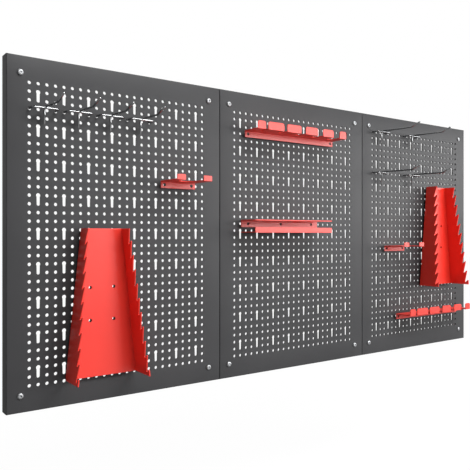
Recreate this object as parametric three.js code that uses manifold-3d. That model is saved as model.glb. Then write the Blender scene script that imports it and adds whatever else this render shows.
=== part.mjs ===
// Pegboard tool wall: three perforated steel trays side by side on a wall, with wire hooks,
// wrench racks, tab holders and a bit rail. Millimetres, +Z up, front facing -Y.
// The origin is the centre of the wall plane (y = 0) behind the middle tray.
import * as THREE from 'three';
import { mergeVertices } from 'three/addons/utils/BufferGeometryUtils.js';
import Module from 'manifold-3d';

const wasm = await Module();
wasm.setup();

// Panels
const PANEL_PITCH = 400;
const PANEL_HEIGHT = 577;
const PANEL_DEPTH = 25;
const PANEL_GAP = 0.6;
const SHEET = 3;
const REAR_LIP = 14;
const PANEL_NAMES = ['panel_left', 'panel_centre', 'panel_right'];

// Perforation grid: columns count from the left and rows from the top, both from 0
const GRID = 14.1;
const COLUMNS = 24;
const ROWS = 36;
const FIRST_COLUMN = 35.5; // from a panel's left edge
const FIRST_ROW = 41.75; // from its top edge
const HOLE_R = 3.05;
const HOLE_SIDES = 12;
const PANEL_HOLE_SIDES = 8;
const SLOT_EVERY = { columns: 3, rows: 4 };
const SLOT_FIRST = { column: 1, row: 1 };
const SLOT_HEAD_R = 3.8; // the wide upper end of a keyhole slot
const SLOT_SHOULDER = 3; // where its straight neck starts, below the head's centre
const SLOT_FOOT = 3.2; // end of the neck, below the lower row's centre

// Wall screws, one step outside the grid's corners
const SCREW = {
  headR: 5, rimHeight: 1, domeR: 3.6, domeHeight: 2.7, headHeight: 3,
  recessR: 1.9, recessDepth: 1.8, shankR: 2.4, intoWall: 25,
};

// Wire hooks, tilting about the two pegs of the crossbar
const WIRE_R = 1.75;
const WIRE_SIDES = 8;
const BAR_SPAN = 3; // grid steps between the pegs
const BAR_OUT = 20; // crossbar axis, from the middle of the sheet
const LEG_IN = 3.7; // upturned leg's axis, behind the middle of the sheet
const LEG_RISE = 13;
const TAIL_OUT = 10.8;
const TAIL_DROP = 26;
const LEG_BEND_R = 3.5;
const STEM_BEND_R = 5.5;
const STEM_RISE = 3; // stem's axis above the crossbar's, at the weld
const SHORT_HOOK = { bend: 77, bendRise: 0.3, tip: 106.5, tipRise: 9.6 };
const LONG_HOOK = { bend: 105, bendRise: 0.5, tip: 129, tipRise: 9.3 };

// Sheet metal holders
const PLATE = 2;
const STAND_OFF = 9.2; // front of a mounting flange, from the middle of the sheet
const STUD_R = 2.5;
const NUT_R = 4.6;
const NUT_HEIGHT = 3;
const STUD_END = 2; // beyond the nut
const CLEARANCE = 0.3;
const CORNER_CUT = 0.3; // of a tab's corner radius, where its chamfered corner turns

const TAB_HOLDER = {
  width: 71.6, depth: 62.4, up: 7.05, down: 6.45, tabHeight: 10, tabs: [17.3, 17.3],
  slots: [37], slotCentre: 22.5, corner: 1.5, holes: [-2, 2], studs: [0, 1],
};
const TOOL_HOLDER = {
  width: 240.5, depth: 44.8, up: 7, down: 7, tabHeight: 16, tabs: [19.5, 40.5, 37.3, 33.5, 30.3, 19.3],
  slots: [6.2, 8, 12.7, 14.9, 18.3], slotCentre: 19, corner: 4, holes: [-8, 8], studs: [-6, 0, 6],
};
const RAIL = {
  width: 203, depth: 49, up: 7.75, down: 7, lowerDrop: 18.3, lipHeight: 10.6,
  webWidth: 120, holes: [-6, 0, 6], studs: [-3, 3],
  bitHoles: 11, bitPitch: 17, bitR: 3.6, bitOut: 26,
};
const RACK = {
  topWidth: 74, bottomWidth: 127, height: 255, topDepth: 31,
  notches: 10, notchDepth: 23.3, notchDeepens: 2.46, notchFirst: 27.5, notchPitch: 24.66,
  notchFloor: [[0.6, 3], [0, 1], [1.2, 0], [3, 0.8]], // out and up from a notch's lowest point
  spikeOut: 11, spikeRise: 6.2, bottomDepth: 56.4, spikeTip: 1.2,
  holes: [[-1.5, -2], [1.5, -2], [-1.5, 2], [1.5, 2]], studs: [[-2.5, -6], [2.5, -6], [-2.5, 6], [2.5, 6]],
};

const PANEL_COAT = { color: 0x3f4245, roughness: 0.5, metalness: 0 };
const RED_COAT = { color: 0xe0392f, roughness: 0.3, metalness: 0 };
const BRIGHT_WIRE = { color: 0xc9ccd0, roughness: 0.12, metalness: 1 };
const ZINC = { color: 0xb9bcc0, roughness: 0.3, metalness: 1 };

const sheetFront = -PANEL_DEPTH;
const sheetMiddle = sheetFront + SHEET / 2;
const flangeFront = sheetMiddle - STAND_OFF;

const group = new THREE.Group();
group.name = 'pegboard_tool_wall';

function panelLeft(panel) {
  return (panel - PANEL_NAMES.length / 2) * PANEL_PITCH;
}

function columnX(panel, column) {
  return panelLeft(panel) + FIRST_COLUMN + column * GRID;
}

function rowZ(row) {
  return PANEL_HEIGHT / 2 - FIRST_ROW - row * GRID;
}

function solid(geometry) {
  const bare = geometry.clone();
  bare.deleteAttribute('normal');
  bare.deleteAttribute('uv');
  const merged = mergeVertices(bare, 1e-4);
  return new wasm.Manifold(new wasm.Mesh({
    numProp: 3,
    vertProperties: new Float32Array(merged.attributes.position.array),
    triVerts: new Uint32Array(merged.index.array),
  }));
}

function addMesh(name, body, finish) {
  const { vertProperties, triVerts } = body.getMesh();
  const indexed = new THREE.BufferGeometry();
  indexed.setAttribute('position', new THREE.BufferAttribute(new Float32Array(vertProperties), 3));
  indexed.setIndex(new THREE.BufferAttribute(new Uint32Array(triVerts), 1));
  const geometry = indexed.toNonIndexed();
  geometry.computeVertexNormals();
  const mesh = new THREE.Mesh(geometry, new THREE.MeshStandardMaterial(finish));
  mesh.name = name;
  group.add(mesh);
}

function joined(bodies) {
  return bodies.reduce((whole, body) => whole.add(body));
}

// Plate parallel to the wall: outline and openings in (x, z), from y = front backwards
function wallPlate(outline, front, thickness, openings = []) {
  const shape = new THREE.Shape(outline.map(([x, z]) => new THREE.Vector2(x, -z)));
  const geometry = new THREE.ExtrudeGeometry(shape, { depth: thickness, bevelEnabled: false });
  geometry.rotateX(-Math.PI / 2); // (x, y, z) becomes (x, z, -y)
  geometry.translate(0, front, 0);
  const plate = solid(geometry);
  return openings.length === 0 ? plate
    : plate.subtract(joined(openings.map((opening) => wallPlate(opening, front - thickness, 3 * thickness))));
}

function block(x0, x1, y0, y1, z0, z1) {
  const geometry = new THREE.BoxGeometry(x1 - x0, y1 - y0, z1 - z0);
  geometry.translate((x0 + x1) / 2, (y0 + y1) / 2, (z0 + z1) / 2);
  return solid(geometry);
}

function rod(radius, sides, x, z, y0, y1) {
  const geometry = new THREE.CylinderGeometry(radius, radius, y1 - y0, sides);
  geometry.translate(x, (y0 + y1) / 2, z);
  return solid(geometry);
}

function upright(radius, sides, x, y, z0, z1) {
  const geometry = new THREE.CylinderGeometry(radius, radius, z1 - z0, sides);
  geometry.rotateX(Math.PI / 2);
  geometry.translate(x, y, (z0 + z1) / 2);
  return solid(geometry);
}

function rectangle(x0, x1, z0, z1) {
  return [[x0, z0], [x1, z0], [x1, z1], [x0, z1]];
}

function circle(x, z, radius, sides = HOLE_SIDES) {
  return Array.from({ length: sides }, (_, k) => {
    const turn = (2 * Math.PI * (k + 0.5)) / sides;
    return [x + radius * Math.cos(turn), z + radius * Math.sin(turn)];
  });
}

function keyhole(x, upperZ) {
  const top = upperZ + SLOT_HEAD_R;
  const shoulder = upperZ - SLOT_SHOULDER;
  const bottom = upperZ - GRID - SLOT_FOOT;
  return [
    [x - SLOT_HEAD_R / 2, top], [x - SLOT_HEAD_R, upperZ], [x - HOLE_R, shoulder], [x - HOLE_R, bottom],
    [x + HOLE_R, bottom], [x + HOLE_R, shoulder], [x + SLOT_HEAD_R, upperZ], [x + SLOT_HEAD_R / 2, top],
  ];
}

// Panels, screws, hooks and holders each note the round holes they use here
const usedHoles = PANEL_NAMES.map(() => []);

function useHole(panel, column, row) {
  usedHoles[panel].push([columnX(panel, column), rowZ(row)]);
}

function addPanel(panel) {
  const left = panelLeft(panel) + PANEL_GAP / 2;
  const right = panelLeft(panel) + PANEL_PITCH - PANEL_GAP / 2;
  const [bottom, top] = [-PANEL_HEIGHT / 2, PANEL_HEIGHT / 2];
  const openings = usedHoles[panel].map(([x, z]) => circle(x, z, HOLE_R, PANEL_HOLE_SIDES));
  for (let column = SLOT_FIRST.column; column < COLUMNS; column += SLOT_EVERY.columns) {
    for (let row = SLOT_FIRST.row; row < ROWS - 1; row += SLOT_EVERY.rows) {
      openings.push(keyhole(columnX(panel, column), rowZ(row)));
    }
  }
  const ring = (inset, front, thickness) => wallPlate(rectangle(left, right, bottom, top), front, thickness,
    [rectangle(left + inset, right - inset, bottom + inset, top - inset)]);
  addMesh(PANEL_NAMES[panel], joined([
    wallPlate(rectangle(left, right, bottom, top), sheetFront, SHEET, openings),
    ring(SHEET, sheetFront + SHEET / 2, PANEL_DEPTH - SHEET / 2),
    ring(REAR_LIP, -SHEET, SHEET),
  ]), PANEL_COAT);
}

function addScrew(name, panel, column, row) {
  const { headR, rimHeight, domeR, domeHeight, headHeight, recessR, recessDepth, shankR, intoWall } = SCREW;
  useHole(panel, column, row);
  const headBack = CLEARANCE;
  const length = PANEL_DEPTH + intoWall;
  const profile = [
    [0, headBack + headHeight - recessDepth], [recessR, headBack + headHeight - recessDepth],
    [recessR, headBack + headHeight], [domeR, headBack + domeHeight], [headR, headBack + rimHeight],
    [headR, headBack], [shankR, headBack], [shankR, -length + shankR], [0, -length],
  ].reverse().map(([radius, out]) => new THREE.Vector2(radius, out));
  const geometry = new THREE.LatheGeometry(profile, HOLE_SIDES);
  geometry.rotateX(Math.PI); // outwards becomes -Y
  geometry.translate(columnX(panel, column), sheetFront, rowZ(row));
  addMesh(name, solid(geometry), ZINC);
}

// A wire's path with its corners rounded, as the exact rings to be swept
class WirePath extends THREE.Curve {
  constructor(corners, bendR, cuts = 3) {
    super();
    this.rings = [];
    corners.forEach((corner, k) => {
      if (k === 0 || k === corners.length - 1) {
        this.rings.push(corner);
        return;
      }
      const back = corners[k - 1].clone().sub(corner).normalize();
      const on = corners[k + 1].clone().sub(corner).normalize();
      const half = back.angleTo(on) / 2;
      const reach = bendR / Math.tan(half);
      const centre = corner.clone().addScaledVector(back.clone().add(on).normalize(), bendR / Math.sin(half));
      const from = corner.clone().addScaledVector(back, reach).sub(centre);
      const normal = new THREE.Vector3().crossVectors(on, back).normalize();
      for (let cut = 0; cut <= cuts; cut += 1) {
        const turn = ((Math.PI - 2 * half) * cut) / cuts;
        this.rings.push(from.clone().applyAxisAngle(normal, turn).add(centre));
      }
    });
  }

  getPointAt(share) {
    return this.rings[Math.round(share * (this.rings.length - 1))].clone();
  }

  getSpacedPoints() {
    return this.rings.map((ring) => ring.clone());
  }

  getTangentAt(share) {
    const k = Math.round(share * (this.rings.length - 1));
    const before = this.rings[Math.max(k - 1, 0)];
    const after = this.rings[Math.min(k + 1, this.rings.length - 1)];
    return after.clone().sub(before).normalize();
  }
}

function wire(corners, bendR) {
  const path = new WirePath(corners, bendR);
  const round = new THREE.Shape(circle(0, 0, WIRE_R, WIRE_SIDES).map(([x, y]) => new THREE.Vector2(x, y)));
  return solid(new THREE.ExtrudeGeometry(round, {
    steps: path.rings.length - 1, extrudePath: path, bevelEnabled: false,
  }));
}

function addHook(name, panel, column, row, { bend, bendRise, tip, tipRise }) {
  useHole(panel, column, row);
  useHole(panel, column + BAR_SPAN, row);
  const z = rowZ(row);
  const point = (x, out, up) => new THREE.Vector3(x, sheetMiddle - out, z + up);
  const left = columnX(panel, column);
  const right = columnX(panel, column + BAR_SPAN);
  const middle = (left + right) / 2;
  const bar = wire([
    point(left, -LEG_IN, LEG_RISE), point(left, -LEG_IN, 0), point(left, BAR_OUT, 0),
    point(right, BAR_OUT, 0), point(right, -LEG_IN, 0), point(right, -LEG_IN, LEG_RISE),
  ], LEG_BEND_R);
  const stem = wire([
    point(middle, TAIL_OUT, -TAIL_DROP), point(middle, TAIL_OUT, STEM_RISE),
    point(middle, bend, bendRise), point(middle, tip, tipRise),
  ], STEM_BEND_R);
  addMesh(name, bar.add(stem), BRIGHT_WIRE);
}

// The threaded studs on the back of a holder, each with its nut behind the sheet
function studs(panel, column, row, places) {
  return places.flatMap(([across, down]) => {
    const x = columnX(panel, column + across);
    const z = rowZ(row + down);
    useHole(panel, column + across, row + down);
    const nutFront = sheetFront + SHEET + CLEARANCE;
    const nutBack = nutFront + NUT_HEIGHT;
    return [
      rod(STUD_R, HOLE_SIDES, x, z, flangeFront + PLATE / 2, nutBack + STUD_END),
      rod(NUT_R, 6, x, z, nutFront, nutBack),
    ];
  });
}

// Round openings through a mounting flange, in line with holes of the panel behind
function flangeHoles(panel, column, row, places) {
  return places.map(([across, down]) => {
    useHole(panel, column + across, row + down);
    return circle(columnX(panel, column + across), rowZ(row + down), HOLE_R);
  });
}

function inLine(steps) {
  return steps.map((across) => [across, 0]);
}

// Shelf with upturned front tabs, hung from a flange; column and row are the flange's centre
function addTabHolder(name, panel, column, row, spec) {
  const x = columnX(panel, column);
  const z = rowZ(row);
  const left = x - spec.width / 2;
  const front = flangeFront - spec.depth;
  const shelfTop = z + spec.up;
  const flange = wallPlate(rectangle(left, left + spec.width, z - spec.down, shelfTop), flangeFront, PLATE,
    flangeHoles(panel, column, row, inLine(spec.holes)));
  let body = joined([
    flange,
    block(left, left + spec.width, front, flangeFront + PLATE, shelfTop - PLATE, shelfTop),
    ...studs(panel, column, row, inLine(spec.studs)),
  ]);
  const tabTop = shelfTop - PLATE + spec.tabHeight;
  let edge = left;
  spec.tabs.forEach((width, k) => {
    const [tabLeft, tabRight] = [edge, edge + width];
    const corner = spec.corner;
    body = body.add(wallPlate([
      [tabLeft, shelfTop - PLATE], [tabRight, shelfTop - PLATE], [tabRight, tabTop - corner],
      [tabRight - CORNER_CUT * corner, tabTop - CORNER_CUT * corner], [tabRight - corner, tabTop],
      [tabLeft + corner, tabTop], [tabLeft + CORNER_CUT * corner, tabTop - CORNER_CUT * corner],
      [tabLeft, tabTop - corner],
    ], front, PLATE));
    edge = tabRight;
    if (k < spec.slots.length) {
      const slot = spec.slots[k];
      const centre = front + spec.slotCentre;
      const cut = [shelfTop - 2 * PLATE, shelfTop + PLATE];
      body = body
        .subtract(block(edge, edge + slot, front - PLATE, centre, ...cut))
        .subtract(upright(slot / 2, 2 * HOLE_SIDES, edge + slot / 2, centre, ...cut));
      edge += slot;
    }
  });
  addMesh(name, body, RED_COAT);
}

function addRail(name, panel, column, row) {
  const x = columnX(panel, column);
  const z = rowZ(row);
  const [left, right] = [x - RAIL.width / 2, x + RAIL.width / 2];
  const front = flangeFront - RAIL.depth;
  const back = flangeFront + PLATE;
  const top = z + RAIL.up;
  const floor = z - RAIL.lowerDrop;
  let body = joined([
    wallPlate(rectangle(left, right, z - RAIL.down, top), flangeFront, PLATE,
      flangeHoles(panel, column, row, inLine(RAIL.holes))),
    block(left, right, front, back, top - PLATE, top),
    block(x - RAIL.webWidth / 2, x + RAIL.webWidth / 2, flangeFront, back, floor, z - RAIL.down + PLATE),
    block(left, right, front, back, floor, floor + PLATE),
    block(left, right, front, front + PLATE, floor, floor + RAIL.lipHeight),
    ...studs(panel, column, row, inLine(RAIL.studs)),
  ]);
  for (let k = 0; k < RAIL.bitHoles; k += 1) {
    const holeX = x + (k - (RAIL.bitHoles - 1) / 2) * RAIL.bitPitch;
    body = body.subtract(upright(RAIL.bitR, HOLE_SIDES, holeX, front + RAIL.bitOut, top - 2 * PLATE, top + PLATE));
  }
  addMesh(name, body, RED_COAT);
}

// Outline of a rack's toothed side flange: distance out from the back plate, then down from the top
function toothedOutline() {
  const points = [[-PLATE, 0], [RACK.topDepth, 0]];
  for (let k = 0; k < RACK.notches; k += 1) {
    const depth = RACK.notchDepth + k * RACK.notchDeepens;
    const down = RACK.notchFirst + k * RACK.notchPitch;
    const [tipOut, tipDown] = [depth + RACK.spikeOut, down - RACK.spikeRise];
    points.push(...RACK.notchFloor.map(([out, up]) => [depth + out, down - up]),
      [tipOut - RACK.spikeTip, tipDown], [tipOut, tipDown + RACK.spikeTip]);
  }
  points.push([RACK.bottomDepth, RACK.height], [-PLATE, RACK.height]);
  return points;
}

function addRack(name, panel, column, row, topRow) {
  const x = columnX(panel, column);
  const top = rowZ(topRow);
  const bottom = top - RACK.height;
  const halfTop = RACK.topWidth / 2;
  const halfBottom = RACK.bottomWidth / 2;
  const slope = (halfBottom - halfTop) / RACK.height;
  const outline = new THREE.Shape(toothedOutline().map(([out, down]) => new THREE.Vector2(out, -down)));
  const sides = [-1, 1].map((side) => {
    const flange = new THREE.ExtrudeGeometry(outline, { depth: PLATE, bevelEnabled: false });
    flange.rotateY(Math.PI / 2); // (x, y, z) becomes (z, y, -x)
    flange.rotateX(Math.PI / 2); // (x, y, z) becomes (x, -z, y)
    flange.rotateZ(Math.PI);
    flange.translate(side > 0 ? PLATE : 0, 0, 0);
    const lean = new THREE.Matrix4().set(1, 0, -side * slope, 0, 0, 1, 0, 0, 0, 0, 1, 0, 0, 0, 0, 1);
    flange.applyMatrix4(lean);
    flange.translate(x + side * halfTop - (side > 0 ? PLATE : -PLATE), flangeFront, top);
    return solid(flange);
  });
  addMesh(name, joined([
    wallPlate([[x - halfTop, top], [x + halfTop, top], [x + halfBottom, bottom], [x - halfBottom, bottom]],
      flangeFront, PLATE, flangeHoles(panel, column, row, RACK.holes)),
    ...sides,
    ...studs(panel, column, row, RACK.studs),
  ]), RED_COAT);
}

[0, 4, 8, 12].forEach((column, k) => addHook(`hook_short_${k + 1}`, 0, column, 3, SHORT_HOOK));
[[0, 0], [8, 0], [0, 7], [8, 7]].forEach(([column, row], k) => {
  addHook(`hook_long_${k + 1}`, 2, column, row, LONG_HOOK);
});
addRack('wrench_rack_left', 0, 8.5, 26, 16.8);
addRack('wrench_rack_right', 2, 16.5, 18, 8.8);
addTabHolder('tab_holder_left', 0, 19, 11, TAB_HOLDER);
addTabHolder('tab_holder_right', 2, 5, 20, TAB_HOLDER);
addTabHolder('tool_holder_centre', 1, 10, 3, TOOL_HOLDER);
addTabHolder('tool_holder_right', 2, 14, 32, TOOL_HOLDER);
addRail('bit_rail', 1, 8, 16);
PANEL_NAMES.forEach((_, panel) => {
  [[-1, -1], [COLUMNS, -1], [-1, ROWS], [COLUMNS, ROWS]].forEach(([column, row], k) => {
    addScrew(`wall_screw_${panel * 4 + k + 1}`, panel, column, row);
  });
  addPanel(panel);
});

export default group;
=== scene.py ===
from math import cos, pi, radians, sin, tan

import bpy
from mathutils import Matrix, Vector


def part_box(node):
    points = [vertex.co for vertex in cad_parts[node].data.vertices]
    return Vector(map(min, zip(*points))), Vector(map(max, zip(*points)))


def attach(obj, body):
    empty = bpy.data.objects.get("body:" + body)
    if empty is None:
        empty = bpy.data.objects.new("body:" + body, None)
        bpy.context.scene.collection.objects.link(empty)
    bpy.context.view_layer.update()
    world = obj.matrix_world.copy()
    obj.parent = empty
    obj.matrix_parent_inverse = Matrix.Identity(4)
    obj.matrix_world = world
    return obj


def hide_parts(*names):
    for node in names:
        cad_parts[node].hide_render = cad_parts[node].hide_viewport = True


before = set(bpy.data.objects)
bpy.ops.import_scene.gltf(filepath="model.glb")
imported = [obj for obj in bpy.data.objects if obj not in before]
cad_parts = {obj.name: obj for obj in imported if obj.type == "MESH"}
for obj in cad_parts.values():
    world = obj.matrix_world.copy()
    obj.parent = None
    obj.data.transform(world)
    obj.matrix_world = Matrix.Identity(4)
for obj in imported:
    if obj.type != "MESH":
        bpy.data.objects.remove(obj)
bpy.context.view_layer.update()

wallBody = "wall_set"
gridStep = 0.0141  # between the holes of the perforation, both ways
firstColumn = 0.0355  # first column of holes, from a panel's left edge
firstRow = 0.04175  # first row of holes, from its top edge
sheetThick = 0.0030
holeRadius = 0.00298  # with the coating in it
tiny = 0.00001  # points nearer than this count as one


def deselectAll():
    if bpy.context.object and bpy.context.object.mode != "OBJECT":
        bpy.ops.object.mode_set(mode="OBJECT")
    bpy.ops.object.select_all(action="DESELECT")


def pickOnly(obj):
    deselectAll()
    obj.select_set(True)
    bpy.context.view_layer.objects.active = obj
    return obj


def newPiece(name):
    piece = bpy.context.active_object
    piece.name = name
    bpy.ops.object.transform_apply(location=True, rotation=True, scale=True)
    return piece


def addBox(name, low, high):
    deselectAll()
    centre = [(a + b) / 2 for a, b in zip(low, high)]
    bpy.ops.mesh.primitive_cube_add(size=1, location=centre, scale=[b - a for a, b in zip(low, high)])
    return newPiece(name)


def addDrum(name, x, z, front, back, radius, sides):
    deselectAll()
    bpy.ops.mesh.primitive_cylinder_add(vertices=sides, radius=radius, depth=back - front,
                                        location=(x, (front + back) / 2, z), rotation=(pi / 2, 0, 0))
    return newPiece(name)


def editFaces(piece, wanted):
    pickOnly(piece)
    bpy.ops.object.mode_set(mode="EDIT")
    bpy.ops.mesh.select_mode(type="FACE")
    bpy.ops.mesh.select_all(action="DESELECT")
    bpy.ops.object.mode_set(mode="OBJECT")
    for face in piece.data.polygons:
        face.select = wanted(face)
    bpy.ops.object.mode_set(mode="EDIT")


def editEdges(piece, wanted):
    pickOnly(piece)
    bpy.ops.object.mode_set(mode="EDIT")
    bpy.ops.mesh.select_mode(type="EDGE")
    bpy.ops.mesh.select_all(action="DESELECT")
    bpy.ops.object.mode_set(mode="OBJECT")
    points = piece.data.vertices
    for edge in piece.data.edges:
        edge.select = wanted(points[edge.vertices[0]].co, points[edge.vertices[1]].co)
    bpy.ops.object.mode_set(mode="EDIT")


def editPoints(piece, wanted):
    pickOnly(piece)
    bpy.ops.object.mode_set(mode="EDIT")
    bpy.ops.mesh.select_mode(type="VERT")
    bpy.ops.mesh.select_all(action="DESELECT")
    bpy.ops.object.mode_set(mode="OBJECT")
    for point in piece.data.vertices:
        point.select = wanted(point.co)
    bpy.ops.object.mode_set(mode="EDIT")


def doneEditing():
    bpy.ops.object.mode_set(mode="OBJECT")


def applyAll(piece):
    pickOnly(piece)
    for modifier in list(piece.modifiers):
        bpy.ops.object.modifier_apply(modifier=modifier.name)


def joinAll(pieces, name):
    deselectAll()
    for piece in pieces:
        piece.select_set(True)
    bpy.context.view_layer.objects.active = pieces[0]
    if len(pieces) > 1:
        bpy.ops.object.join()
    pieces[0].name = name
    return pieces[0]


def copyOf(piece, name, move=(0, 0, 0)):
    twin = piece.copy()
    twin.data = piece.data.copy()
    twin.data.transform(Matrix.Translation(Vector(move)))
    twin.name = name
    bpy.context.scene.collection.objects.link(twin)
    return twin


def smoothAt(piece, degrees):
    pickOnly(piece)
    bpy.ops.object.shade_smooth_by_angle(angle=radians(degrees))


def settle(piece, body, slot, *nodes):
    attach(piece, body)
    if nodes:
        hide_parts(*nodes)
    return piece


cameraSettings = {
    "place": (-0.8607, -1.0675, 0.0001),
    "turn": 37.874,  # degrees right of straight at the wall
    "lens": 47.384,
    "shift": (-0.0945, -0.0021),
}


def makeCamera(s):
    deselectAll()
    bpy.ops.object.camera_add(location=s["place"], rotation=(pi / 2, 0, -radians(s["turn"])))
    camera = bpy.context.active_object
    camera.name = "productCamera"
    camera.data.sensor_width = 36
    camera.data.lens = s["lens"]
    camera.data.shift_x, camera.data.shift_y = s["shift"]
    camera.data.clip_start = 0.01
    camera.data.dof.use_dof = False
    bpy.context.scene.camera = camera


makeCamera(cameraSettings)
print("camera placed")


def newMaterial(name):
    material = bpy.data.materials.new(name)
    material.use_nodes = True
    tree = material.node_tree
    return material, tree, tree.nodes["Principled BSDF"]


def addNode(tree, kind, **values):
    node = tree.nodes.new(kind)
    for key, value in values.items():
        setattr(node, key, value)
    return node


def makeCoatGroup():
    # baked powder: small rounded lumps, a finer grain over them, and a slow drift of tone
    group = bpy.data.node_groups.new("bakedPowder", "ShaderNodeTree")
    face = group.interface
    face.new_socket("Coords", in_out="INPUT", socket_type="NodeSocketVector")
    for name, value in (("Lump Scale", 900.0), ("Grain Scale", 2600.0), ("Drift Scale", 7.0)):
        face.new_socket(name, in_out="INPUT", socket_type="NodeSocketFloat").default_value = value
    face.new_socket("Height", in_out="OUTPUT", socket_type="NodeSocketFloat")
    face.new_socket("Drift", in_out="OUTPUT", socket_type="NodeSocketFloat")
    face.new_socket("Grain", in_out="OUTPUT", socket_type="NodeSocketFloat")
    entry = addNode(group, "NodeGroupInput")
    leave = addNode(group, "NodeGroupOutput")
    lumps = addNode(group, "ShaderNodeTexNoise")
    lumps.inputs["Detail"].default_value = 2
    grain = addNode(group, "ShaderNodeTexNoise")
    grain.inputs["Detail"].default_value = 1
    drift = addNode(group, "ShaderNodeTexNoise")
    drift.inputs["Detail"].default_value = 3
    for node, scale in ((lumps, "Lump Scale"), (grain, "Grain Scale"), (drift, "Drift Scale")):
        group.links.new(entry.outputs["Coords"], node.inputs["Vector"])
        group.links.new(entry.outputs[scale], node.inputs["Scale"])
    half = addNode(group, "ShaderNodeMath", operation="MULTIPLY_ADD")
    half.inputs[1].default_value = 0.35
    group.links.new(grain.outputs["Fac"], half.inputs[0])
    group.links.new(lumps.outputs["Fac"], half.inputs[2])
    group.links.new(half.outputs[0], leave.inputs["Height"])
    group.links.new(drift.outputs["Fac"], leave.inputs["Drift"])
    group.links.new(grain.outputs["Fac"], leave.inputs["Grain"])
    return group


coatGroup = makeCoatGroup()


def makeCoat(name, s):
    material, tree, shader = newMaterial(name)
    coords = addNode(tree, "ShaderNodeTexCoord")
    powder = addNode(tree, "ShaderNodeGroup")
    powder.node_tree = coatGroup
    powder.inputs["Lump Scale"].default_value = s["lumps"]
    powder.inputs["Grain Scale"].default_value = s["grain"]
    powder.inputs["Drift Scale"].default_value = s["drift"]
    tree.links.new(coords.outputs["Object"], powder.inputs["Coords"])
    tone = addNode(tree, "ShaderNodeValToRGB")
    tone.color_ramp.elements[0].position = 0.3
    tone.color_ramp.elements[0].color = (*s["darker"], 1)
    tone.color_ramp.elements[1].position = 0.7
    tone.color_ramp.elements[1].color = (*s["lighter"], 1)
    tree.links.new(powder.outputs["Drift"], tone.inputs["Fac"])
    tree.links.new(tone.outputs["Color"], shader.inputs["Base Color"])
    gloss = addNode(tree, "ShaderNodeMapRange")
    gloss.inputs["From Min"].default_value = 0.3
    gloss.inputs["From Max"].default_value = 0.7
    gloss.inputs["To Min"].default_value = s["roughness"][0]
    gloss.inputs["To Max"].default_value = s["roughness"][1]
    tree.links.new(powder.outputs["Grain"], gloss.inputs["Value"])
    tree.links.new(gloss.outputs["Result"], shader.inputs["Roughness"])
    bump = addNode(tree, "ShaderNodeBump")
    bump.inputs["Strength"].default_value = s["bump"]
    bump.inputs["Distance"].default_value = s["depth"]
    tree.links.new(powder.outputs["Height"], bump.inputs["Height"])
    tree.links.new(bump.outputs["Normal"], shader.inputs["Normal"])
    shader.inputs["Specular IOR Level"].default_value = s["specular"]
    return material


panelCoat = makeCoat("anthracitePowder", {
    "darker": (0.041, 0.041, 0.043), "lighter": (0.049, 0.049, 0.051),
    "lumps": 1100, "grain": 3200, "drift": 6,
    "roughness": (0.40, 0.50), "bump": 0.35, "depth": 0.0002, "specular": 0.25,
})
redCoat = makeCoat("redPowder", {
    "darker": (0.76, 0.026, 0.013), "lighter": (0.82, 0.032, 0.016),
    "lumps": 700, "grain": 2600, "drift": 9,
    "roughness": (0.34, 0.42), "bump": 0.12, "depth": 0.0001, "specular": 0.8,
})


def makePlating(name, s):
    material, tree, shader = newMaterial(name)
    coords = addNode(tree, "ShaderNodeTexCoord")
    draw = addNode(tree, "ShaderNodeMapping")
    draw.inputs["Scale"].default_value = s["stretch"]
    marks = addNode(tree, "ShaderNodeTexNoise")
    marks.inputs["Scale"].default_value = s["marks"]
    marks.inputs["Detail"].default_value = 3
    tree.links.new(coords.outputs["Object"], draw.inputs["Vector"])
    tree.links.new(draw.outputs["Vector"], marks.inputs["Vector"])
    tone = addNode(tree, "ShaderNodeValToRGB")
    tone.color_ramp.elements[0].position = 0.35
    tone.color_ramp.elements[0].color = (*s["darker"], 1)
    tone.color_ramp.elements[1].position = 0.65
    tone.color_ramp.elements[1].color = (*s["lighter"], 1)
    tree.links.new(marks.outputs["Fac"], tone.inputs["Fac"])
    tree.links.new(tone.outputs["Color"], shader.inputs["Base Color"])
    gloss = addNode(tree, "ShaderNodeMapRange")
    gloss.inputs["To Min"].default_value = s["roughness"][0]
    gloss.inputs["To Max"].default_value = s["roughness"][1]
    tree.links.new(marks.outputs["Fac"], gloss.inputs["Value"])
    tree.links.new(gloss.outputs["Result"], shader.inputs["Roughness"])
    bump = addNode(tree, "ShaderNodeBump")
    bump.inputs["Strength"].default_value = s["bump"]
    bump.inputs["Distance"].default_value = s["depth"]
    tree.links.new(marks.outputs["Fac"], bump.inputs["Height"])
    tree.links.new(bump.outputs["Normal"], shader.inputs["Normal"])
    shader.inputs["Metallic"].default_value = 1.0
    return material


brightPlating = makePlating("brightPlatedWire", {
    "darker": (0.32, 0.325, 0.33), "lighter": (0.42, 0.425, 0.43), "stretch": (1, 1, 1), "marks": 260,
    "roughness": (0.05, 0.12), "bump": 0.08, "depth": 0.0001,
})
zincPlating = makePlating("zincPlatedSteel", {
    "darker": (0.40, 0.41, 0.42), "lighter": (0.56, 0.57, 0.58), "stretch": (1, 1, 3), "marks": 420,
    "roughness": (0.45, 0.60), "bump": 0.08, "depth": 0.0001,
})
print("materials mixed")


panelSettings = {
    "nodes": ("panel_left", "panel_centre", "panel_right"),
    "columns": 24, "rows": 36, "slotColumns": 3, "slotRows": 4,  # one keyhole slot in each 3 by 4 patch
    "holeSides": 16,
    "slotHead": 0.0038,  # radius of a keyhole's wide upper end
    "punchPast": 0.003,  # how far a punch reaches past the sheet
    "lip": 0.014, "foldRadius": 0.0015, "foldCuts": 4,
}


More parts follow.
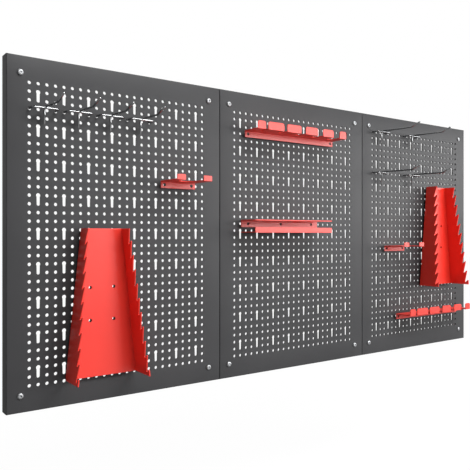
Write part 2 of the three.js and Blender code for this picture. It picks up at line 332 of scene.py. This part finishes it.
def makePatch(s, low):
    # one patch of sheet, 3 columns by 4 rows, whose keyhole takes two rows of the middle column
    firstX, firstZ = low.x + firstColumn, -low.z - firstRow  # the panel is centred on height zero
    front, back = low.y, low.y + sheetThick
    left, top = firstX - gridStep / 2, firstZ + gridStep / 2
    right, bottom = left + s["slotColumns"] * gridStep, top - s["slotRows"] * gridStep
    patch = addBox("sheetPatch", (left, front, bottom), (right, back, top))
    punches = []
    for column in range(s["slotColumns"]):
        for row in range(s["slotRows"]):
            x, z = firstX + column * gridStep, firstZ - row * gridStep
            if (column, row) == (1, 2):
                continue  # the keyhole above reaches down to here
            punch = addDrum("punch", x, z, front - s["punchPast"], back + s["punchPast"],
                            holeRadius, s["holeSides"])
            if (column, row) == (1, 1):
                editPoints(punch, lambda co: co.z < z - holeRadius / 6)
                bpy.ops.transform.translate(value=(0, 0, -gridStep))
                doneEditing()
            punches.append(punch)
    head = addDrum("keyholeHead", firstX + gridStep, firstZ - gridStep, front - s["punchPast"],
                   back + s["punchPast"], s["slotHead"], s["holeSides"])
    for punch in (joinAll(punches, "punches"), head):
        cut = patch.modifiers.new("punched", "BOOLEAN")
        cut.operation = "DIFFERENCE"
        cut.object = punch
        applyAll(patch)
        bpy.data.objects.remove(punch)
    editFaces(patch, lambda f: min(abs(f.center.x - left), abs(f.center.x - right),
                                   abs(f.center.z - bottom), abs(f.center.z - top)) < tiny)
    bpy.ops.mesh.delete(type="FACE")
    doneEditing()
    for count, offset in ((s["columns"] // s["slotColumns"], (s["slotColumns"] * gridStep, 0, 0)),
                          (s["rows"] // s["slotRows"], (0, 0, -s["slotRows"] * gridStep))):
        repeat = patch.modifiers.new("repeat", "ARRAY")
        repeat.count = count
        repeat.use_relative_offset = False
        repeat.use_constant_offset = True
        repeat.constant_offset_displace = offset
        repeat.use_merge_vertices = True
        repeat.merge_threshold = tiny
    applyAll(patch)
    return patch


def makeTray(s, low, high):
    # the folded tray round the perforation: front margin, four sides and the lip against the wall
    tray = addBox("foldedTray", low, high)
    editFaces(tray, lambda f: f.normal.y > 0.9)
    bpy.ops.mesh.delete(type="FACE")
    left = low.x + firstColumn - gridStep / 2
    right = left + s["columns"] * gridStep
    top = high.z - firstRow + gridStep / 2
    bottom = top - s["rows"] * gridStep
    for point, across in (((left, 0, 0), (1, 0, 0)), ((right, 0, 0), (1, 0, 0)),
                          ((0, 0, top), (0, 0, 1)), ((0, 0, bottom), (0, 0, 1))):
        editFaces(tray, lambda f: f.normal.y < -0.9)
        bpy.ops.mesh.bisect(plane_co=point, plane_no=across)
    editFaces(tray, lambda f: f.normal.y < -0.9 and left < f.center.x < right
              and bottom < f.center.z < top)
    bpy.ops.mesh.delete(type="FACE")
    editEdges(tray, lambda a, b: min(a.y, b.y) > high.y - tiny)
    bpy.ops.mesh.extrude_edges_move()
    width, height = high.x - low.x, high.z - low.z
    bpy.ops.transform.resize(value=(1 - 2 * s["lip"] / width, 1, 1 - 2 * s["lip"] / height),
                             center_override=(low + high) / 2)

    def onRim(co):
        return (min(co.x - low.x, high.x - co.x) < tiny, min(co.z - low.z, high.z - co.z) < tiny)

    def isFrontFold(a, b):
        along = any(p and q for p, q in zip(onRim(a), onRim(b)))
        return along and max(a.y, b.y) < low.y + tiny

    editEdges(tray, isFrontFold)
    bpy.ops.mesh.bevel(offset=s["foldRadius"], segments=s["foldCuts"], affect="EDGES")
    bpy.ops.mesh.select_all(action="SELECT")
    bpy.ops.mesh.normals_make_consistent(inside=False)
    doneEditing()
    wall = tray.modifiers.new("wall", "SOLIDIFY")
    wall.thickness = sheetThick
    wall.offset = -1
    wall.use_even_offset = True
    applyAll(tray)
    return tray


def makePanels(s):
    low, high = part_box(s["nodes"][0])
    panel = joinAll([makeTray(s, low, high), makePatch(s, low)], "leftPanel")
    smoothAt(panel, 34)
    panel.data.materials.clear()
    panel.data.materials.append(panelCoat)
    for count, node in enumerate(s["nodes"]):
        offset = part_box(node)[0].x - low.x
        piece = panel if count == 0 else copyOf(panel, node.split("_")[1] + "Panel", (offset, 0, 0))
        settle(piece, wallBody, "panel_coat", node)


makePanels(panelSettings)
print("panels punched and folded")


wireSettings = {
    "radius": 0.00175, "sides": 14, "bendCuts": 6,
    "endRound": 0.3, "endShare": 0.72,  # rounding of a cut end, as shares of the wire's radius
    "barOut": 0.020, "legIn": 0.0037, "legRise": 0.013,  # the first two from the middle of the sheet
    "tailOut": 0.0108, "tailDrop": 0.026, "stemRise": 0.003,
    "legBend": 0.0035, "stemBend": 0.0055,
    "short": {"bend": 0.077, "bendRise": 0.0003, "tip": 0.1065, "tipRise": 0.0096},
    "long": {"bend": 0.105, "bendRise": 0.0005, "tip": 0.129, "tipRise": 0.0093},
    "hooks": {"hook_short": (1, 2, 3, 4), "hook_long": (1, 2, 3, 4)},
}


def makeWire(name, corners, bendRadius, s):
    # a ring pushed along the route: straight runs are extruded, bends are spun
    corners = [Vector(c) for c in corners]
    heading = (corners[1] - corners[0]).normalized()
    turn = Vector((0, 0, 1)).rotation_difference(heading).to_euler()
    deselectAll()
    rounding = s["radius"] * s["endRound"]
    start = corners[0] + heading * rounding
    bpy.ops.mesh.primitive_circle_add(vertices=s["sides"], radius=s["radius"], location=start, rotation=turn)
    wire = newPiece(name)
    bpy.ops.object.mode_set(mode="EDIT")
    bpy.ops.mesh.select_all(action="SELECT")
    place = start.copy()
    for k in range(1, len(corners)):
        last = k == len(corners) - 1
        if last:
            stop = corners[k] - heading * rounding
        else:
            onward = (corners[k + 1] - corners[k]).normalized()
            angle = heading.angle(onward)
            stop = corners[k] - heading * bendRadius * tan(angle / 2)
        if (stop - place).length > tiny:
            bpy.ops.mesh.extrude_edges_move(TRANSFORM_OT_translate={"value": stop - place})
        place = stop
        if not last:
            axis = heading.cross(onward).normalized()
            centre = place + axis.cross(heading) * bendRadius
            cuts = max(2, round(s["bendCuts"] * angle / (pi / 2)))
            bpy.ops.mesh.spin(steps=cuts, angle=-angle, center=centre, axis=axis)  # spin turns left-handed
            place = centre + Matrix.Rotation(angle, 3, axis) @ (place - centre)
            heading = onward
    bpy.ops.mesh.extrude_edges_move(TRANSFORM_OT_translate={"value": heading * rounding})
    bpy.ops.transform.resize(value=[s["endShare"]] * 3, center_override=corners[-1])
    bpy.ops.mesh.edge_face_add()
    doneEditing()
    first = (corners[1] - corners[0]).normalized()
    editPoints(wire, lambda co: abs((co - start).dot(first)) < tiny
               and (co - start).length < 1.2 * s["radius"])
    bpy.ops.mesh.extrude_edges_move(TRANSFORM_OT_translate={"value": -first * rounding})
    bpy.ops.transform.resize(value=[s["endShare"]] * 3, center_override=corners[0])
    bpy.ops.mesh.edge_face_add()
    bpy.ops.mesh.select_all(action="SELECT")
    bpy.ops.mesh.remove_doubles(threshold=tiny)
    bpy.ops.mesh.normals_make_consistent(inside=False)
    doneEditing()
    return wire


weldSettings = {
    "size": (0.0024, 0.0011, 0.0009), "apart": 0.0016, "up": 0.0019,  # placed about the crossbar's middle
    "endFrom": 0.0014, "endShift": (0.0003, 0, 0.0002),
}


def makeWeld(name, x, y, z, s):
    # a short bead in the corner between the stem and the crossbar, pushed in a little at its left end
    deselectAll()
    bpy.ops.mesh.primitive_uv_sphere_add(segments=10, ring_count=6, radius=1, location=(x, y, z),
                                         scale=s["size"])
    bead = newPiece(name)
    editPoints(bead, lambda co: co.x < x - s["endFrom"])
    bpy.ops.transform.translate(value=s["endShift"])
    doneEditing()
    return bead


def makeHook(node, kind, s, weld):
    low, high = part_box(node)
    left, right = low.x + s["radius"], high.x - s["radius"]
    middle = (left + right) / 2
    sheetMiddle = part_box("panel_left")[0].y + sheetThick / 2
    barZ = low.z + s["tailDrop"]

    def at(x, out, up):
        return (x, sheetMiddle - out, barZ + up)

    bar = makeWire("crossbar", [
        at(left, -s["legIn"], s["legRise"]), at(left, -s["legIn"], 0), at(left, s["barOut"], 0),
        at(right, s["barOut"], 0), at(right, -s["legIn"], 0), at(right, -s["legIn"], s["legRise"]),
    ], s["legBend"], s)
    stem = makeWire("stem", [
        at(middle, s["tailOut"], -s["tailDrop"]), at(middle, s["tailOut"], s["stemRise"]),
        at(middle, kind["bend"], kind["bendRise"]), at(middle, kind["tip"], kind["tipRise"]),
    ], s["stemBend"], s)
    beads = [makeWeld("weldBead", middle + side * weld["apart"], sheetMiddle - s["barOut"],
                      barZ + weld["up"], weld) for side in (-1, 1)]
    hook = joinAll([bar, stem, *beads], node.replace("_", "") + "Wire")
    smoothAt(hook, 50)
    hook.data.materials.clear()
    hook.data.materials.append(brightPlating)
    settle(hook, node, "bright_wire", node)


for family, counts in wireSettings["hooks"].items():
    for count in counts:
        makeHook(f"{family}_{count}", wireSettings[family.split("_")[1]], wireSettings, weldSettings)
print("hooks bent and welded")


holderSettings = {
    "names": {
        "wrench_rack_left": "leftRack", "wrench_rack_right": "rightRack",
        "tab_holder_left": "leftPliersHolder", "tab_holder_right": "rightPliersHolder",
        "tool_holder_centre": "centreToolHolder", "tool_holder_right": "rightToolHolder",
        "bit_rail": "bitRail",
    },
    "plateThick": 0.002,
    "standOff": 0.0092,  # front of a holder's flange, from the middle of the sheet
    "coatEnd": 0.0002,  # past the flange's back the studs are bare
    "softEdge": 0.00035, "sharpAbove": 38, "smoothBelow": 42,  # the last two in degrees
}


def makeHolder(node, name, s):
    # the folded body with its edges softened, coated red in front and bare at the studs
    holder = copyOf(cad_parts[node], name)
    holder.parent = None
    for key in list(holder.keys()):
        del holder[key]
    pickOnly(holder)
    bpy.ops.object.mode_set(mode="EDIT")
    bpy.ops.mesh.select_all(action="SELECT")
    bpy.ops.mesh.remove_doubles(threshold=tiny)
    bpy.ops.mesh.dissolve_limited(angle_limit=radians(1))
    doneEditing()
    soft = holder.modifiers.new("softEdge", "BEVEL")
    soft.width = s["softEdge"]
    soft.segments = 2
    soft.limit_method = "ANGLE"
    soft.angle_limit = radians(s["sharpAbove"])
    applyAll(holder)
    smoothAt(holder, s["smoothBelow"])
    flat = holder.modifiers.new("flatFaces", "WEIGHTED_NORMAL")
    flat.keep_sharp = True
    applyAll(holder)
    holder.data.materials.clear()
    holder.data.materials.append(redCoat)
    holder.data.materials.append(zincPlating)
    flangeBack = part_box("panel_left")[0].y + sheetThick / 2 - s["standOff"] + s["plateThick"]
    for face in holder.data.polygons:
        face.material_index = 1 if face.center.y > flangeBack + s["coatEnd"] else 0
    settle(holder, wallBody, "red_coat", node)


for node, name in holderSettings["names"].items():
    makeHolder(node, name, holderSettings)
print("holders folded")


screwSettings = {
    "count": 12, "sides": 24,
    "gap": 0.0003,  # between the head and the sheet
    "rimBack": 0.0019,  # front of the straight rim, behind the top of the dome
    "rimShare": 0.995,  # of the head's radius
    "dome": ((0.0008, 0.93), (0.0006, 0.82), (0.0004, 0.68)),  # steps forward, and each one's share in width
    "socketRim": 0.0002, "socketRadius": 0.0021, "socketDepth": 0.0018, "socketPast": 0.001,
    "shankRadius": 0.0024, "shankSides": 16, "pointLong": 0.0035, "pointShare": 0.15,
}


def makeScrews(s):
    # pan head with a hexagon socket, made once at the first corner
    low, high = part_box("wall_screw_1")
    x, z = (low.x + high.x) / 2, (low.z + high.z) / 2
    radius = (high.x - low.x) / 2
    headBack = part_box("panel_left")[0].y - s["gap"]
    screw = addDrum("screwHead", x, z, low.y + s["rimBack"], headBack, radius * s["rimShare"], s["sides"])
    editFaces(screw, lambda f: f.normal.y < -0.9)
    for forward, share in s["dome"]:
        bpy.ops.mesh.extrude_region_move(TRANSFORM_OT_translate={"value": (0, -forward, 0)})
        bpy.ops.transform.resize(value=(share, 1, share), center_override=(x, 0, z))
    bpy.ops.mesh.inset(thickness=s["socketRim"])
    doneEditing()
    socket = addDrum("hexSocket", x, z, low.y - s["socketPast"], low.y + s["socketDepth"],
                     s["socketRadius"], 6)
    cut = screw.modifiers.new("socket", "BOOLEAN")
    cut.operation = "DIFFERENCE"
    cut.object = socket
    applyAll(screw)
    bpy.data.objects.remove(socket)
    shank = addDrum("screwShank", x, z, headBack, high.y, s["shankRadius"], s["shankSides"])
    editFaces(shank, lambda f: f.normal.y > 0.9)
    bpy.ops.transform.translate(value=(0, -s["pointLong"], 0))
    bpy.ops.mesh.extrude_region_move(TRANSFORM_OT_translate={"value": (0, s["pointLong"], 0)})
    bpy.ops.transform.resize(value=(s["pointShare"], 1, s["pointShare"]), center_override=(x, 0, z))
    doneEditing()
    screw = joinAll([screw, shank], "wallScrew1")
    smoothAt(screw, 40)
    screw.data.materials.clear()
    screw.data.materials.append(zincPlating)
    for count in range(1, s["count"] + 1):
        node = f"wall_screw_{count}"
        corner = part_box(node)[0]
        piece = screw if count == 1 else copyOf(screw, f"wallScrew{count}", corner - low)
        settle(piece, wallBody, "zinc_screw", node)


makeScrews(screwSettings)
print("screws driven")


studioSettings = {
    "floor": {"height": -0.62, "size": 30, "tone": 0.25, "roughness": 0.8, "glow": 1.1, "glowShare": 0.88},
    # side and rise are degrees right and up, seen from the wall's centre
    "key": {"side": 12, "rise": 44, "away": 4.5, "size": (3.2, 1.2), "power": 242},
    "card": {"side": 44, "rise": 7, "away": 3.0, "size": (3.2, 0.8), "power": 62},
    # brightness of the air on either side of the wall, as light and as reflected
    "ahead": {"lit": 0.20, "mirrored": 0.02},
    "behind": {"lit": 0.9, "mirrored": 0.45},
    "turnsBright": (-0.15, 0.25),  # where one changes to the other, from forward to backward
}


def makeFloor(s):
    # pale to the camera, and darker to everything else so that it throws little light up
    deselectAll()
    bpy.ops.mesh.primitive_plane_add(size=s["size"], location=(0, 0, s["height"]))
    floor = newPiece("studioFloor")
    material, tree, shader = newMaterial("paleFloor")
    shader.inputs["Base Color"].default_value = (s["tone"], s["tone"], s["tone"], 1)
    shader.inputs["Roughness"].default_value = s["roughness"]
    glow = addNode(tree, "ShaderNodeEmission")
    path = addNode(tree, "ShaderNodeLightPath")
    mix = addNode(tree, "ShaderNodeMixShader")
    share = addNode(tree, "ShaderNodeMath", operation="MULTIPLY")
    share.inputs[1].default_value = s["glowShare"]
    tree.links.new(path.outputs["Is Camera Ray"], share.inputs[0])
    tree.links.new(share.outputs[0], mix.inputs["Fac"])
    tree.links.new(shader.outputs[0], mix.inputs[1])
    tree.links.new(glow.outputs[0], mix.inputs[2])
    tree.links.new(mix.outputs[0], tree.nodes["Material Output"].inputs["Surface"])
    glow.inputs["Strength"].default_value = s["glow"]
    floor.data.materials.append(material)


def makeSoftbox(name, s):
    deselectAll()
    side, rise = radians(s["side"]), radians(s["rise"])
    place = Vector((sin(side) * cos(rise), -cos(side) * cos(rise), sin(rise))) * s["away"]
    bpy.ops.object.light_add(type="AREA", location=place)
    softbox = bpy.context.active_object
    softbox.name = name
    softbox.rotation_euler = (-place).to_track_quat("-Z", "Y").to_euler()
    softbox.data.shape = "RECTANGLE"
    softbox.data.size, softbox.data.size_y = s["size"]
    softbox.data.energy = s["power"]


def makeAir(s):
    # dim in front of the wall, bright behind it, and plain white wherever the camera looks past it
    world = bpy.data.worlds.new("studioAir")
    world.use_nodes = True
    bpy.context.scene.world = world
    tree = world.node_tree
    tree.nodes.clear()
    coords = addNode(tree, "ShaderNodeTexCoord")
    split = addNode(tree, "ShaderNodeSeparateXYZ")
    fade = addNode(tree, "ShaderNodeMapRange")
    fade.inputs["From Min"].default_value, fade.inputs["From Max"].default_value = s["turnsBright"]
    path = addNode(tree, "ShaderNodeLightPath")
    for side, end in (("ahead", "To Min"), ("behind", "To Max")):
        choose = addNode(tree, "ShaderNodeMapRange")
        choose.inputs["To Min"].default_value = s[side]["lit"]
        choose.inputs["To Max"].default_value = s[side]["mirrored"]
        tree.links.new(path.outputs["Is Glossy Ray"], choose.inputs["Value"])
        tree.links.new(choose.outputs["Result"], fade.inputs[end])
    seen, lit = addNode(tree, "ShaderNodeBackground"), addNode(tree, "ShaderNodeBackground")
    mix = addNode(tree, "ShaderNodeMixShader")
    leave = addNode(tree, "ShaderNodeOutputWorld")
    seen.inputs["Color"].default_value = (1, 1, 1, 1)
    lit.inputs["Color"].default_value = (1, 1, 1, 1)
    tree.links.new(coords.outputs["Generated"], split.inputs[0])
    tree.links.new(split.outputs["Y"], fade.inputs["Value"])
    tree.links.new(fade.outputs["Result"], lit.inputs["Strength"])
    tree.links.new(path.outputs["Is Camera Ray"], mix.inputs["Fac"])
    tree.links.new(lit.outputs[0], mix.inputs[1])
    tree.links.new(seen.outputs[0], mix.inputs[2])
    tree.links.new(mix.outputs[0], leave.inputs["Surface"])
    bpy.context.scene.view_settings.view_transform = "Standard"


makeFloor(studioSettings["floor"])
makeSoftbox("softKey", studioSettings["key"])
makeSoftbox("sideCard", studioSettings["card"])
makeAir(studioSettings)
print("studio lit")
